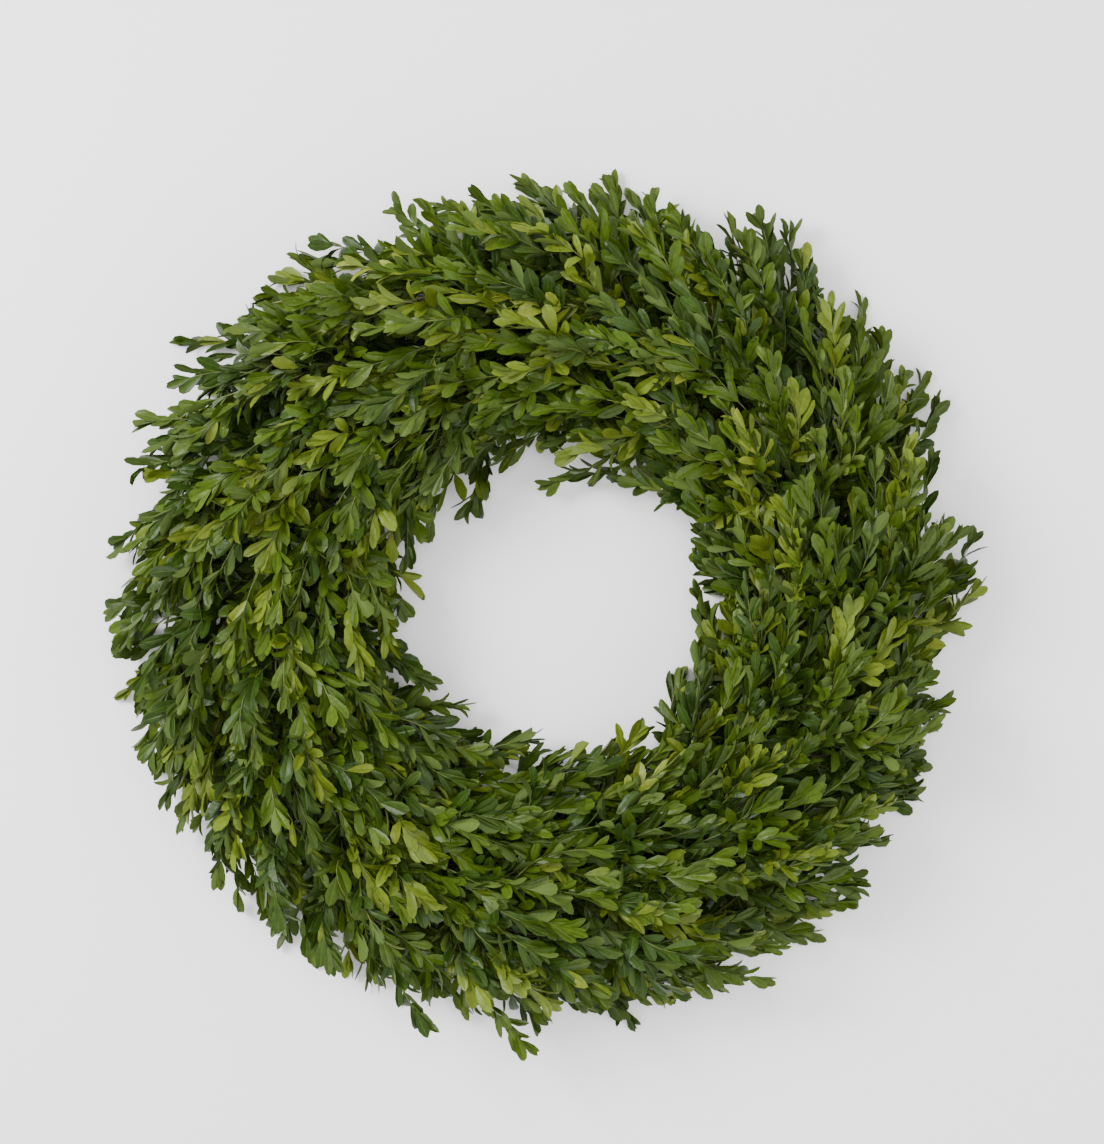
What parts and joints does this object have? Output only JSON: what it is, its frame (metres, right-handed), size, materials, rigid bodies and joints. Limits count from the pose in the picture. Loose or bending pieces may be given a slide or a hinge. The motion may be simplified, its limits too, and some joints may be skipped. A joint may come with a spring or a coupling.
{
  "type": "boxwood wreath",
  "caption": "Round wreath of leafy boxwood sprays, all laid one way round and bound with wire to a ring of twigs, lying on its back.",
  "frame": {"origin": "middle of the wreath's box, at the surface that it lies on", "axes": "+Z out of the wreath's front, which faces up; +Y to what is its top when it hangs; +X to the right as seen from the front"},
  "size_m": [0.5544, 0.5562, 0.1028],
  "materials": {
    "vine_bark": "rough dry twig bark",
    "wire_green": "green enamelled florist's wire",
    "deep_green": "satin leaves, dark green",
    "mid_green": "satin leaves, olive green",
    "fresh_green": "satin leaves, fresh yellow green"
  },
  "bodies": {
    "root": {"twig_ring": "vine_bark", "binding_wire": "wire_green", "bunch_outer_01": "deep_green", "bunch_outer_02": "mid_green", "bunch_outer_03": "mid_green", "bunch_outer_04": "deep_green", "bunch_outer_05": "deep_green", "bunch_outer_06": "mid_green", "bunch_outer_07": "deep_green", "bunch_outer_08": "deep_green", "bunch_outer_09": "mid_green", "bunch_outer_10": "mid_green", "bunch_outer_11": "mid_green", "bunch_outer_12": "deep_green", "bunch_outer_13": "mid_green", "bunch_outer_14": "mid_green", "bunch_upper_outer_01": "mid_green", "bunch_upper_outer_02": "fresh_green", "bunch_upper_outer_03": "deep_green", "bunch_upper_outer_04": "mid_green", "bunch_upper_outer_05": "fresh_green", "bunch_upper_outer_06": "deep_green", "bunch_upper_outer_07": "deep_green", "bunch_upper_outer_08": "mid_green", "bunch_upper_outer_09": "mid_green", "bunch_upper_outer_10": "mid_green", "bunch_upper_outer_11": "mid_green", "bunch_upper_outer_12": "deep_green", "bunch_upper_outer_13": "mid_green", "bunch_upper_outer_14": "mid_green", "bunch_upper_inner_01": "mid_green", "bunch_upper_inner_02": "deep_green", "bunch_upper_inner_03": "mid_green", "bunch_upper_inner_04": "deep_green", "bunch_upper_inner_05": "fresh_green", "bunch_upper_inner_06": "mid_green", "bunch_upper_inner_07": "mid_green", "bunch_upper_inner_08": "mid_green", "bunch_upper_inner_09": "mid_green", "bunch_upper_inner_10": "deep_green", "bunch_upper_inner_11": "mid_green", "bunch_upper_inner_12": "mid_green", "bunch_upper_inner_13": "deep_green", "bunch_upper_inner_14": "mid_green", "bunch_inner_01": "deep_green", "bunch_inner_02": "mid_green", "bunch_inner_03": "fresh_green", "bunch_inner_04": "deep_green", "bunch_inner_05": "fresh_green", "bunch_inner_06": "mid_green", "bunch_inner_07": "fresh_green", "bunch_inner_08": "fresh_green", "bunch_inner_09": "fresh_green", "bunch_inner_10": "fresh_green", "bunch_inner_11": "deep_green", "bunch_inner_12": "fresh_green", "bunch_inner_13": "fresh_green", "bunch_inner_14": "mid_green"}
  },
  "joints": []
}
